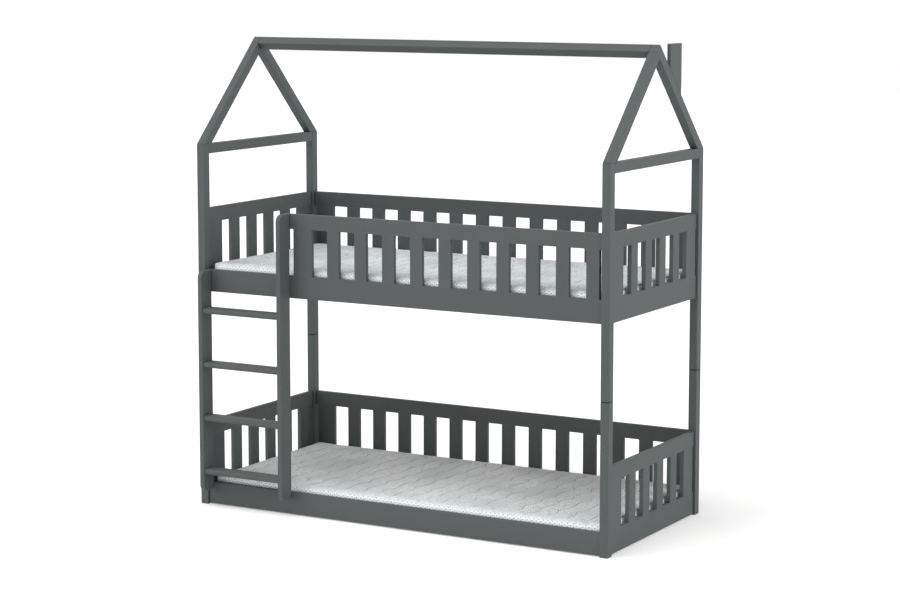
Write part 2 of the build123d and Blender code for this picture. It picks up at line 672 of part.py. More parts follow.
def mattress(level):
    """The quilted cover and the foam core of one mattress."""
    base_z = BED_LEVELS[level] + BED_SLAT_TOP + SEAT_CLEARANCE
    half_length = MATTRESS_LENGTH / 2
    half_width = MATTRESS_WIDTH / 2
    quilt = quilted_length_body(half_length, half_width)
    long_body = extrude(Plane.XZ * profile_face(half_length), half_width, both=True)
    wide_body = extrude(Plane.YZ * profile_face(half_width), half_length, both=True)
    inset = MATTRESS_EDGE_RADIUS + COVER_THICKNESS
    low = Vector(-half_length + inset, -half_width + inset, COVER_THICKNESS)
    high = Vector(half_length - inset, half_width - inset, MATTRESS_HEIGHT - QUILT_DEPTH - COVER_THICKNESS)
    core = box_between(low, high)
    place = Pos(MATTRESS_SHIFT, MIDDLE_Y, base_z)
    cover = (quilt & long_body & wide_body) - core
    return {f"{level}_mattress_cover": place * cover, f"{level}_mattress_core": place * core}


def frame_boards():
    """Every board of the frame before its fastener holes, by node name."""
    made = posts()
    for level in BED_LEVELS:
        panels = panels_of(level)
        for side in ("back", "left", "right"):
            made.update(slatted_side(level, panels[side]))
        if level == "lower":
            panel = panels["front"]
            made["lower_front_rail"] = panel.place * panel.bottom_rail(carries_slats=False)
        else:
            made.update(front_guard(panels["front"]))
        made[f"{level}_ledgers"] = ledgers(level)
        made[f"{level}_bed_slats"] = bed_slats(level)
    made.update(ties())
    for side, x in (("left", LEFT_X), ("right", RIGHT_X - POST_X)):
        front, back = rafters(x)
        made[f"{side}_front_rafter"] = front
        made[f"{side}_back_rafter"] = back
    made["ridge_beam"] = ridge_beam()
    made["chimney_board"] = chimney_board()
    made.update(ladder())
    return made


def fasteners():
    """Every fastener by node name, and all the holes they need."""
    pins, holes = post_pins()
    panels = [panel for level in BED_LEVELS for panel in panels_of(level).values()]
    dowels, cams, bolts, panel_holes = panel_fasteners(panels)
    guard_pins, guard_holes = guard_dowels(panels_of("upper")["front"])
    middles = (LEFT_X + POST_X / 2, RIGHT_X - POST_X / 2)
    tie_ends = [ends for x in middles for ends in tie_dowel_ends(x)]
    rafter_ends = [ends for x in middles for ends in rafter_dowel_ends(x)]
    roof_pins, roof_holes = dowels_from(tie_ends + rafter_ends + ridge_dowel_ends() + chimney_dowel_ends())
    holes += panel_holes + guard_holes + roof_holes
    made = {"post_pins": pins, "rail_dowels": dowels + guard_pins, "cams": cams, "cam_bolts": bolts,
            "roof_dowels": roof_pins}
    forwards = Vector(0, -1, 0)
    ladder_rows = [(head, forwards) for head in ladder_screw_heads()]
    ledger_rows = [row for level in BED_LEVELS for row in ledger_screws(level)]
    slat_rows = [row for level in BED_LEVELS for row in bed_slat_screws(level)]
    rows = {
        "ladder_screws": (ladder_rows, LADDER_SCREW_LENGTH),
        "ledger_screws": (ledger_rows, LEDGER_SCREW_LENGTH),
        "bed_slat_screws": (slat_rows, SLAT_SCREW_LENGTH),
    }
    for name, (places, length) in rows.items():
        made[name] = [screw(head, direction, length) for head, direction in places]
        holes += [screw_hole(head, direction, length) for head, direction in places]
    return made, holes


def write(name, shape):
    """Writes one node, which may be a list of separate solids."""
    whole = Compound(children=shape) if isinstance(shape, list) else shape
    export_step(whole, f"parts/{name}.step")


def main():
    os.makedirs("parts", exist_ok=True)
    made, holes = fasteners()
    for name, shape in frame_boards().items():
        if isinstance(shape, list):
            made[name] = [drilled(piece, holes) for piece in shape]
        else:
            made[name] = drilled(shape, holes)
    for level in BED_LEVELS:
        made.update(mattress(level))
    for name, shape in made.items():
        write(name, shape)
    print(len(made), "nodes written")


main()
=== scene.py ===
"""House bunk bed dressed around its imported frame: painted pine boards and quilted mattresses."""
import json
import logging
import math
from dataclasses import asdict, dataclass, field
from enum import Enum
from functools import partial
from typing import Any, ClassVar

import bmesh
import bpy
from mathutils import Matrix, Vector

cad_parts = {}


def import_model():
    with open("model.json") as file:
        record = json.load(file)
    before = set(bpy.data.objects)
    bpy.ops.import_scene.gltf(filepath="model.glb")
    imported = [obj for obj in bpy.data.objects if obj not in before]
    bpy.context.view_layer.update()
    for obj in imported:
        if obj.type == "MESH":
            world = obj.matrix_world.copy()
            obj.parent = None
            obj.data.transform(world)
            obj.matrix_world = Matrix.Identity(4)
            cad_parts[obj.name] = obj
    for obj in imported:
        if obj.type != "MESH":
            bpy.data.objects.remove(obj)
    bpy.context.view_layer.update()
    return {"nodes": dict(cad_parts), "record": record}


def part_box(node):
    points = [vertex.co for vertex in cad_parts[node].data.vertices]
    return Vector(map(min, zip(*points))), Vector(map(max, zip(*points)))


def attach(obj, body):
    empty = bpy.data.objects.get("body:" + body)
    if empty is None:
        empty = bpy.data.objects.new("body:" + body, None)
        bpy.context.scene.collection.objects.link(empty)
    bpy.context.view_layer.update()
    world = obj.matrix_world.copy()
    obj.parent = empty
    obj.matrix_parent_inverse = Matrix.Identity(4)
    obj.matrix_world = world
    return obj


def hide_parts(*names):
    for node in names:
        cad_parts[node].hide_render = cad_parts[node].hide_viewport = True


LOG = logging.getLogger("house_bunk_bed")
MM = 0.001
# How near to a cut a vertex counts as on it, in metres.
ON_PLANE = 1e-6
# More vertices than a cover has.
MOST_VERTICES = 1e5
SENSOR_WIDTH_MM = 36.0
ROOF_SLOPE_DEG = 45.0
WHITE = (1.0, 1.0, 1.0, 1.0)
# The size of a board's pattern across the grain, as a share of its size along it.
ACROSS = 0.06


class Grain(Enum):
    """The way in which the grain of a painted board runs."""

    ALONG_X = (0.0, (1.0, ACROSS, ACROSS))
    ALONG_Y = (0.0, (ACROSS, 1.0, ACROSS))
    ALONG_Z = (0.0, (ACROSS, ACROSS, 1.0))
    FRONT_SLOPE = (-ROOF_SLOPE_DEG, (ACROSS, 1.0, ACROSS))
    BACK_SLOPE = (ROOF_SLOPE_DEG, (ACROSS, 1.0, ACROSS))

    def stretched(self, tree: bpy.types.NodeTree, place: Any) -> Any:
        """Draws a pattern out along the grain.

        Args:
            tree: The material's tree.
            place: The socket with the place on the piece.

        Returns:
            The socket with the place for a pattern that is long and narrow.
        """
        angle, stretch = self.value
        turned = add_node(tree, "ShaderNodeMapping", {"Rotation": (math.radians(angle), 0, 0)},
                          {"Vector": place})
        narrow = add_node(tree, "ShaderNodeMapping", {"Scale": tuple(min(stretch) / s for s in stretch)},
                          {"Vector": turned.outputs["Vector"]})
        return narrow.outputs["Vector"]


class Level(Enum):
    """The two beds."""

    LOWER = "lower"
    UPPER = "upper"


def linear(hex_colour: str) -> tuple[float, float, float, float]:
    """Turns an sRGB hex colour into the linear one that a shader takes.

    Args:
        hex_colour: Six hexadecimal digits.

    Returns:
        Red, green, blue and an alpha of one.
    """
    channels = [int(hex_colour[n:n + 2], 16) / 255 for n in (0, 2, 4)]
    # The curve of the sRGB standard: straight near black, and a power above.
    red, green, blue = (c / 12.92 if c <= 0.04045 else ((c + 0.055) / 1.055) ** 2.4 for c in channels)
    return (red, green, blue, 1.0)


def eased(share: float) -> float:
    """Rises smoothly from 0 to 1 as a share does, and stays there beyond."""
    share = min(1.0, max(0.0, share))
    return share * share * (3 - 2 * share)


def rank(part: bmesh.types.BMEdge | bmesh.types.BMFace) -> float:
    """A number that puts edges or faces in the order of the three lowest of their vertices."""
    lowest = sorted(vert.index for vert in part.verts)[:3]
    return sum(index / MOST_VERTICES ** place for place, index in enumerate(lowest))


def add_node(tree: bpy.types.NodeTree, kind: str, settings: dict[str, Any] | None = None,
             links: dict[str | int, Any] | None = None) -> bpy.types.Node:
    """Adds a shader node.

    Args:
        tree: The node tree that gets it.
        kind: The node's type name.
        settings: Attributes of the node, or values of its inputs where it has no such attribute.
        links: Output sockets by the input that each one feeds.

    Returns:
        The new node.
    """
    node = tree.nodes.new(kind)
    for key, value in (settings or {}).items():
        if isinstance(key, str) and hasattr(node, key):
            setattr(node, key, value)
        else:
            node.inputs[key].default_value = value
    for key, socket in (links or {}).items():
        tree.links.new(socket, node.inputs[key])
    return node


def set_sockets(shader: bpy.types.Node, values: dict[str, Any]) -> None:
    """Writes values on a shader's own sockets."""
    for name, value in values.items():
        shader.inputs[name].default_value = value


def span(ends: tuple[float, float]) -> dict[str, float]:
    """The settings with which a Map Range node reads its input from one end to the other."""
    return {"From Min": ends[0], "From Max": ends[1]}


def new_material(name: str) -> tuple[bpy.types.Material, bpy.types.NodeTree, bpy.types.Node]:
    """Makes an empty node material with a surface shader on its output.

    Args:
        name: The material's name.

    Returns:
        The material, its tree and its Principled shader.
    """
    material = bpy.data.materials.new(name)
    material.use_nodes = True
    tree = material.node_tree
    tree.nodes.clear()
    shader = add_node(tree, "ShaderNodeBsdfPrincipled")
    add_node(tree, "ShaderNodeOutputMaterial", links={"Surface": shader.outputs["BSDF"]})
    return material, tree, shader


def seen_directly(tree: bpy.types.NodeTree, path: bpy.types.Node) -> Any:
    """A mask of the rays that the camera sees straight, in a gloss or through glass.

    Args:
        tree: The node tree.
        path: Its Light Path node.

    Returns:
        The socket with one for such rays and zero for others.
    """
    straight = add_node(tree, "ShaderNodeMath", {"operation": "MAXIMUM"},
                        {0: path.outputs["Is Camera Ray"], 1: path.outputs["Is Glossy Ray"]})
    through = add_node(tree, "ShaderNodeMath", {"operation": "MAXIMUM"},
                       {0: straight.outputs[0], 1: path.outputs["Is Transmission Ray"]})
    return through.outputs[0]


@dataclass(frozen=True)
class GraphitePaint:
    """Opaque satin furniture paint, sprayed on planed pine.

    The paint is matt enough to show no clear reflection. The grain of the pine telegraphs through the
    film as long, shallow ridges. The joints are painted a little darker, partly as dust and partly as
    painted shade. The arrises are painted a little lighter, partly where hands and feet polish them
    and partly as a painted highlight of the soft sheen along the rounded arrises. Each range holds the
    two ends between which a noise or a mask is read.
    """

    colour: str = "4E5252"
    cloud_colour: str = "555959"
    # Lighter colour of the arrises: paint rubbed by hands and feet, and a painted highlight.
    worn_colour: str = "6A6F6F"
    roughness: float = 0.6
    gloss_spread: tuple[float, float] = (-0.05, 0.07)
    specular: float = 0.18
    grain_width_mm: float = 2.2
    grain_share: float = 0.35
    grain_height_mm: float = 0.4
    grain_strength: float = 0.1
    cloud_size_mm: float = 160.0
    film_range: tuple[float, float] = (0.45, 0.95)
    peel_size_mm: float = 0.9
    peel_height_mm: float = 0.2
    peel_strength: float = 0.05
    joint_reach_mm: float = 4.0
    joint_range: tuple[float, float] = (0.2, 0.9)
    joint_shade: float = 0.45
    open_joint_mm: tuple[float, float] = (1.5, 2.8)
    open_joint_shade: float = 0.15
    arris_range: tuple[float, float] = (0.85, 0.45)
    wear_patch_mm: float = 25.0
    wear_patch_range: tuple[float, float] = (0.4, 0.65)

    def build(self, name: str, grain: Grain, wear: float, arris_mm: float,
              joint_z: float | None) -> bpy.types.Material:
        """Makes the paint for boards of one sub-assembly whose grain runs one way.

        Args:
            name: The sub-assembly's name.
            grain: The way of the grain.
            wear: How much of the arrises is painted lighter, partly as rubbing by hands and feet and partly
                as a painted highlight, from 0 to 1.
            arris_mm: How far the lighter band reaches in from an arris.
            joint_z: The height in metres at which two of its boards meet end to end, or None.

        Returns:
            The material.
        """
        material, tree, shader = new_material(f"graphite_paint_{name}_{grain.name.lower()}")
        place = add_node(tree, "ShaderNodeTexCoord").outputs["Object"]
        narrow = grain.stretched(tree, place)
        lines = add_node(tree, "ShaderNodeTexNoise",
                         {"Scale": 1 / (self.grain_width_mm * MM), "Detail": 3.0, "Roughness": 0.6,
                          "Distortion": 0.25}, {"Vector": narrow})
        clouds = add_node(tree, "ShaderNodeTexNoise",
                          {"Scale": 1 / (self.cloud_size_mm * MM), "Detail": 2.0}, {"Vector": narrow})
        peel = add_node(tree, "ShaderNodeTexNoise", {"Scale": 1 / (self.peel_size_mm * MM), "Detail": 1.0},
                        {"Vector": place})
        tone = add_node(tree, "ShaderNodeMath", {"operation": "MULTIPLY_ADD", 1: self.grain_share},
                        {0: lines.outputs["Fac"], 2: clouds.outputs["Fac"]})
        film_tone = add_node(tree, "ShaderNodeMapRange", span(self.film_range),
                             {"Value": tone.outputs["Value"]})
        film = add_node(tree, "ShaderNodeMix", {"data_type": "RGBA", 6: linear(self.colour),
                                                7: linear(self.cloud_colour)},
                        {0: film_tone.outputs["Result"]})
        # Painted highlight, with real rubbing: the outer arrises are lighter.
        rubbed_and_highlit = add_node(tree, "ShaderNodeMix", {"data_type": "RGBA", 7: linear(self.worn_colour)},
                        {0: self.worn_arrises(tree, place, wear, arris_mm), 6: film.outputs[2]})
        # Painted shade in the joints, and in the groove where the two post lengths meet.
        shades = [self.shaded_joints(tree)]
        if joint_z is not None:
            shades.append(self.open_joint(tree, place, joint_z))
        colour = rubbed_and_highlit.outputs[2]
        for shade in shades:
            colour = add_node(tree, "ShaderNodeMix", {"data_type": "RGBA", "blend_type": "MULTIPLY", 0: 1.0},
                              {6: colour, 7: shade}).outputs[2]
        tree.links.new(colour, shader.inputs["Base Color"])
        smoothest, roughest = (self.roughness + step for step in self.gloss_spread)
        gloss = add_node(tree, "ShaderNodeMapRange", {"To Min": smoothest, "To Max": roughest},
                         {"Value": clouds.outputs["Fac"]})
        tree.links.new(gloss.outputs["Result"], shader.inputs["Roughness"])
        skin = add_node(tree, "ShaderNodeBump",
                        {"Strength": self.peel_strength, "Distance": self.peel_height_mm * MM},
                        {"Height": peel.outputs["Fac"]})
        relief = add_node(tree, "ShaderNodeBump",
                          {"Strength": self.grain_strength, "Distance": self.grain_height_mm * MM},
                          {"Height": lines.outputs["Fac"], "Normal": skin.outputs["Normal"]})
        tree.links.new(relief.outputs["Normal"], shader.inputs["Normal"])
        set_sockets(shader, {"Specular IOR Level": self.specular})
        return material

    def worn_arrises(self, tree: bpy.types.NodeTree, place: Any, wear: float, arris_mm: float) -> Any:
        """A mask of the outer arrises, in patches, where the paint is rubbed lighter and carries a painted
        highlight.

        Args:
            tree: The material's tree.
            place: The socket with the place on the piece.
            wear: How much of the arrises is painted lighter, partly as rubbing by hands and feet and partly
                as a painted highlight, from 0 to 1.
            arris_mm: How far the lighter band reaches in from an arris.

        Returns:
            The socket with the lighter share, zero on flat faces.
        """
        thin = add_node(tree, "ShaderNodeAmbientOcclusion",
                        {"samples": 6, "inside": True, "only_local": True, "Distance": arris_mm * MM})
        edge = add_node(tree, "ShaderNodeMapRange", span(self.arris_range) | {"To Max": wear},
                        {"Value": thin.outputs["AO"]})
        patches = add_node(tree, "ShaderNodeTexNoise",
                           {"Scale": 1 / (self.wear_patch_mm * MM), "Detail": 3.0}, {"Vector": place})
        spotty = add_node(tree, "ShaderNodeMapRange", span(self.wear_patch_range),
                          {"Value": patches.outputs["Fac"]})
        return add_node(tree, "ShaderNodeMath", {"operation": "MULTIPLY"},
                        {0: edge.outputs["Result"], 1: spotty.outputs["Result"]}).outputs[0]

    def shaded_joints(self, tree: bpy.types.NodeTree) -> Any:
        """A grey that darkens the open joints between boards: partly dust that collects there, and partly
        painted shade from the occlusion of the nearby faces.

        Args:
            tree: The material's tree.

        Returns:
            The socket with one on open faces and less in the joints.
        """
        # Painted shade, with some dust: the occlusion near other faces darkens the colour in the joints.
        shut = add_node(tree, "ShaderNodeAmbientOcclusion",
                        {"samples": 8, "Distance": self.joint_reach_mm * MM})
        return add_node(tree, "ShaderNodeMapRange", span(self.joint_range) | {"To Min": self.joint_shade},
                        {"Value": shut.outputs["AO"]}).outputs["Result"]

    def open_joint(self, tree: bpy.types.NodeTree, place: Any, joint_z: float) -> Any:
        """A painted shade, with a little dust, that darkens the bottom of the groove where two boards
        meet end to end.

        The dark line is drawn wider than the real hairline, so that it shows.

        Args:
            tree: The material's tree.
            place: The socket with the place on the piece.
            joint_z: The height of the joint in metres.

        Returns:
            The socket with one away from the joint and less in it.
        """
        height = add_node(tree, "ShaderNodeSeparateXYZ", {}, {"Vector": place}).outputs["Z"]
        above = add_node(tree, "ShaderNodeMath", {"operation": "SUBTRACT", 1: joint_z}, {0: height})
        away = add_node(tree, "ShaderNodeMath", {"operation": "ABSOLUTE"}, {0: above.outputs[0]})
        dark, clear = self.open_joint_mm
        return add_node(tree, "ShaderNodeMapRange",
                        span((dark * MM, clear * MM)) | {"To Min": self.open_joint_shade},
                        {"Value": away.outputs[0]}).outputs["Result"]


@dataclass(frozen=True)
class BarePine:
    """Planed, uncoated pine of the hidden slat bases and dowels.

    Pale yellow early wood with darker late-wood lines, a little rough where the planer left it. The
    year rings are drawn about four times as wide as they are, so that they show.
    """

    early_wood: str = "D6C3A2"
    late_wood: str = "B3946A"
    ring_width_mm: float = 7.0
    ring_widening: float = 6.3
    fibre_width_mm: float = 0.8
    fibre_share: float = 0.3
    fibre_height_mm: float = 0.2
    fibre_strength: float = 0.25
    tone_range: tuple[float, float] = (0.25, 1.0)
    roughness: float = 0.62

    def build(self, grain: Grain) -> bpy.types.Material:
        """Makes the bare wood for boards whose grain runs one way.

        Args:
            grain: The way of the grain.

        Returns:
            The material.
        """
        material, tree, shader = new_material(f"bare_pine_{grain.name.lower()}")
        place = add_node(tree, "ShaderNodeTexCoord").outputs["Object"]
        narrow = grain.stretched(tree, place)
        rings = add_node(tree, "ShaderNodeTexWave",
                         {"wave_type": "BANDS", "bands_direction": "DIAGONAL", "wave_profile": "SAW",
                          "Scale": 1 / (self.ring_width_mm * MM) / self.ring_widening, "Distortion": 5.0,
                          "Detail": 2.0, "Detail Scale": 0.7}, {"Vector": narrow})
        fibres = add_node(tree, "ShaderNodeTexNoise",
                          {"Scale": 1 / (self.fibre_width_mm * MM), "Detail": 2.0}, {"Vector": narrow})
        tone = add_node(tree, "ShaderNodeMath", {"operation": "MULTIPLY_ADD", 1: self.fibre_share},
                        {0: fibres.outputs["Fac"], 2: rings.outputs["Fac"]})
        colours = add_node(tree, "ShaderNodeValToRGB", links={"Fac": tone.outputs["Value"]})
        stops = zip(colours.color_ramp.elements, self.tone_range, (self.early_wood, self.late_wood))
        for stop, place_on_ramp, colour in stops:
            stop.position = place_on_ramp
            stop.color = linear(colour)
        tree.links.new(colours.outputs["Color"], shader.inputs["Base Color"])
        relief = add_node(tree, "ShaderNodeBump",
                          {"Strength": self.fibre_strength, "Distance": self.fibre_height_mm * MM},
                          {"Height": fibres.outputs["Fac"]})
        tree.links.new(relief.outputs["Normal"], shader.inputs["Normal"])
        set_sockets(shader, {"Roughness": self.roughness})
        return material


@dataclass(frozen=True)
class ZincSteel:
    """Pressed and turned steel with clear zinc plating, as on furniture screws and cams.

    A cool, slightly cloudy metal: bright, but with no clear reflection.
    """

    colour: str = "C9CBC8"
    cloud_colour: str = "AEB1B0"
    roughness: float = 0.34
    cloud_size_mm: float = 5.0
    cloud_height_mm: float = 0.1
    cloud_strength: float = 0.08

    def build(self) -> bpy.types.Material:
        """Makes the plated steel.

        Returns:
            The material.
        """
        material, tree, shader = new_material("zinc_steel")
        place = add_node(tree, "ShaderNodeTexCoord").outputs["Object"]
        clouds = add_node(tree, "ShaderNodeTexNoise",
                          {"Scale": 1 / (self.cloud_size_mm * MM), "Detail": 3.0}, {"Vector": place})
        colours = add_node(tree, "ShaderNodeValToRGB", links={"Fac": clouds.outputs["Fac"]})
        for stop, colour in zip(colours.color_ramp.elements, (self.cloud_colour, self.colour)):
            stop.color = linear(colour)
        tree.links.new(colours.outputs["Color"], shader.inputs["Base Color"])
        relief = add_node(tree, "ShaderNodeBump",
                          {"Strength": self.cloud_strength, "Distance": self.cloud_height_mm * MM},
                          {"Height": clouds.outputs["Fac"]})
        tree.links.new(relief.outputs["Normal"], shader.inputs["Normal"])
        set_sockets(shader, {"Metallic": 1.0, "Roughness": self.roughness})
        return material


@dataclass(frozen=True)
class PanelLook:
    """The look of one panel of a mattress cover.

    It gives the colour where the cloth stands proud and the darker one in its hollows, which is
    painted shade between the ribs and, with the fuzz, a tone that differs at random; how dark the
    tuck stitches and the upright rows of tacking stitches are; and how deep the ribs look, from 0 to
    1, which also sets how much painted shade lies between them.
    """

    colour: str
    dip_colour: str
    dots: float
    ribs: float
    tacks: float


class ClothPanel(Enum):
    """The panels of a mattress cover."""

    # The border is lighter than the top: partly a whiter cloth, and partly painted light on the band that
    # the rail keeps in shade.
    TOP = PanelLook("F4F8FA", "B9BFC3", dots=0.3, ribs=0.45, tacks=0.0)
    BORDER = PanelLook("FBFFFF", "F2F6F8", dots=0.85, ribs=0.1, tacks=0.8)


@dataclass(frozen=True)
class QuiltedKnit:
    """White stretch knit, quilted on thin wadding in wavy rows, with a dotted relief.

    A matt cloth with a soft fuzz at grazing angles. Fine ribs run along the seams, and small tuck
    stitches show as staggered darker dots. The pattern follows the cloth through its UV map, whose
    unit is a metre: U runs along the bed or round the border, and V across it or up the border. The
    seams and ribs run out within run_out_mm of the cover's long edges.
    The yarn, whose loops are about 0.8 mm wide, and the ribs are too fine to show, so they are drawn
    coarser than they are.
    """

    # Darker seams: the thread and dust in them, and painted shade in their valleys.
    seam_colour: str = "878B8C"
    dot_colour: str = "8A8F91"
    rib_pitch_mm: float = 11.0
    rib_mean: float = 0.4
    rib_height_mm: float = 1.4
    rib_patch_per_m: float = 3.5
    rib_patch_range: tuple[float, float] = (0.35, 0.6)
    weakest_rib: float = 0.25
    wander_per_m: float = 9.0
    wander_in_pitches: float = 1.6
    dot_pitch_mm: float = 20.0
    dot_row_mm: float = 7.0
    dot_first_mm: float = 6.0
    dot_length_mm: float = 6.4
    dot_height_mm: float = 3.4
    dot_edge: tuple[float, float] = (1.25, 0.6)
    tuck_depth_mm: float = 1.0
    tuck_strength: float = 0.6
    tack_pitch_mm: float = 80.0
    tack_step_mm: float = 3.6
    tack_width_mm: float = 1.8
    seam_width_mm: float = 3.6
    # How much of the seams' thread colour and painted shade shows.
    seam_share: float = 0.9
    run_out_mm: tuple[float, float] = (6.0, 45.0)
    pull_per_m: float = 14.0
    pull_range: tuple[float, float] = (0.38, 0.55)
    slackest_seam: float = 0.5
    yarn_mm: float = 2.4
    yarn_height_mm: float = 0.6
    yarn_strength: float = 0.4
    fuzz_mm: float = 13.0
    fuzz_stretch: float = 0.5
    tone_range: tuple[float, float] = (0.24, 0.64)
    fleck_range: tuple[float, float] = (0.47, 0.57)
    fleck_share: float = 0.45
    roughness: float = 0.86
    specular: float = 0.25
    sheen: float = 0.15
    sheen_roughness: float = 0.5

    def staggered_dots(self, tree: bpy.types.NodeTree, u: Any, v: Any) -> Any:
        """A mask of long dots in rows that are set off by half a pitch.

        Args:
            tree: The material's tree.
            u: The socket with the length along a row, in metres.
            v: The socket with the length across the rows, in metres.

        Returns:
            The socket with one inside a dot and zero elsewhere.
        """
        rows = add_node(tree, "ShaderNodeMath",
                        {"operation": "MULTIPLY_ADD", 1: 1 / (self.dot_row_mm * MM),
                         2: 0.5 - self.dot_first_mm / self.dot_row_mm}, {0: v})
        row = add_node(tree, "ShaderNodeMath", {"operation": "FLOOR"}, {0: rows.outputs[0]})
        half_pitch = self.dot_pitch_mm * MM / 2
        moved = add_node(tree, "ShaderNodeMath", {"operation": "MULTIPLY_ADD", 1: half_pitch},
                         {0: row.outputs[0], 2: u})
        along = add_node(tree, "ShaderNodeMath", {"operation": "PINGPONG", 1: half_pitch},
                         {0: moved.outputs[0]})
        within = add_node(tree, "ShaderNodeMath", {"operation": "SUBTRACT"},
                          {0: rows.outputs[0], 1: row.outputs[0]})
        level = add_node(tree, "ShaderNodeMath", {"operation": "SUBTRACT", 1: 0.5}, {0: within.outputs[0]})
        place = add_node(tree, "ShaderNodeCombineXYZ", links={"X": along.outputs[0], "Y": level.outputs[0]})
        shares = add_node(tree, "ShaderNodeVectorMath",
                          {"operation": "MULTIPLY", 1: (2 / (self.dot_length_mm * MM),
                                                        2 * self.dot_row_mm / self.dot_height_mm, 0.0)},
                          {0: place.outputs[0]})
        far = add_node(tree, "ShaderNodeVectorMath", {"operation": "LENGTH"}, {0: shares.outputs[0]})
        return add_node(tree, "ShaderNodeMapRange",
                        {"interpolation_type": "SMOOTHSTEP"} | span(self.dot_edge),
                        {"Value": far.outputs["Value"]}).outputs["Result"]

    def lines(self, tree: bpy.types.NodeTree, u: Any, pitch: float, width: float) -> Any:
        """A mask of thin lines at an even pitch.

        Args:
            tree: The material's tree.
            u: The socket with the length across the lines, in metres.
            pitch: From line to line, in metres.
            width: Of a line, in metres.

        Returns:
            The socket with one on a line and zero elsewhere.
        """
        away = add_node(tree, "ShaderNodeMath", {"operation": "PINGPONG", 1: pitch / 2}, {0: u})
        return add_node(tree, "ShaderNodeMapRange",
                        {"interpolation_type": "SMOOTHSTEP"} | span((width, 0.0)),
                        {"Value": away.outputs[0]}).outputs["Result"]

    def run_out(self, tree: bpy.types.NodeTree, mask: Any, v: Any, width: float) -> Any:
        """Fades a mask out towards both side edges of the top.

        Args:
            tree: The material's tree.
            mask: The socket with the mask.
            v: The socket with the length across the bed, in metres.
            width: Of the cover across the bed, in metres.

        Returns:
            The socket with the faded mask.
        """
        inside = add_node(tree, "ShaderNodeMath", {"operation": "PINGPONG", 1: width / 2}, {0: v})
        gone, full = self.run_out_mm
        share = add_node(tree, "ShaderNodeMapRange",
                         {"interpolation_type": "SMOOTHSTEP"} | span((gone * MM, full * MM)),
                         {"Value": inside.outputs[0]})
        return add_node(tree, "ShaderNodeMath", {"operation": "MULTIPLY"},
                        {0: mask, 1: share.outputs["Result"]}).outputs[0]

    def uneven(self, tree: bpy.types.NodeTree, mask: Any, uv: Any) -> Any:
        """Weakens a mask in patches, as where a seam was pulled less tight.

        Args:
            tree: The material's tree.
            mask: The socket with the mask.
            uv: The socket with the place on the cloth.

        Returns:
            The socket with the uneven mask.
        """
        pull = add_node(tree, "ShaderNodeTexNoise", {"Scale": self.pull_per_m, "Detail": 1.0},
                        {"Vector": uv})
        tight = add_node(tree, "ShaderNodeMapRange", span(self.pull_range) | {"To Min": self.slackest_seam},
                         {"Value": pull.outputs["Fac"]})
        return add_node(tree, "ShaderNodeMath", {"operation": "MULTIPLY"},
                        {0: mask, 1: tight.outputs["Result"]}).outputs[0]

    def ribs(self, tree: bpy.types.NodeTree, uv: Any, u: Any) -> Any:
        """The height of the fine ribs, which wander a little and fade in and out.

        Args:
            tree: The material's tree.
            uv: The socket with the place on the cloth.
            u: The socket with the length across the ribs, in metres.

        Returns:
            The socket with the height, from 0 to 1.
        """
        pitch = self.rib_pitch_mm * MM
        wander = add_node(tree, "ShaderNodeTexNoise", {"Scale": self.wander_per_m, "Detail": 2.0},
                          {"Vector": uv})
        bent = add_node(tree, "ShaderNodeMath",
                        {"operation": "MULTIPLY_ADD", 1: pitch * self.wander_in_pitches},
                        {0: wander.outputs["Fac"], 2: u})
        saw = add_node(tree, "ShaderNodeMath", {"operation": "PINGPONG", 1: pitch / 2}, {0: bent.outputs[0]})
        height = add_node(tree, "ShaderNodeMath", {"operation": "MULTIPLY", 1: 2 / pitch},
                          {0: saw.outputs[0]})
        patches = add_node(tree, "ShaderNodeTexNoise", {"Scale": self.rib_patch_per_m, "Detail": 1.0},
                           {"Vector": uv})
        strong = add_node(tree, "ShaderNodeMapRange",
                          span(self.rib_patch_range) | {"To Min": self.weakest_rib},
                          {"Value": patches.outputs["Fac"]})
        return add_node(tree, "ShaderNodeMath", {"operation": "MULTIPLY"},
                        {0: height.outputs[0], 1: strong.outputs["Result"]}).outputs[0]

    def darkened(self, tree: bpy.types.NodeTree, colour: Any, mask: Any, share: float, tint: str) -> Any:
        """Lays a darker colour over another one where a mask says so.

        Args:
            tree: The material's tree.
            colour: The socket with the colour below.
            mask: The socket with the mask.
            share: How much of the darker colour shows, from 0 to 1.
            tint: The darker colour.

        Returns:
            The socket with the result.
        """
        amount = add_node(tree, "ShaderNodeMath", {"operation": "MULTIPLY", 1: share}, {0: mask})
        return add_node(tree, "ShaderNodeMix", {"data_type": "RGBA", 7: linear(tint)},
                        {0: amount.outputs[0], 6: colour}).outputs[2]

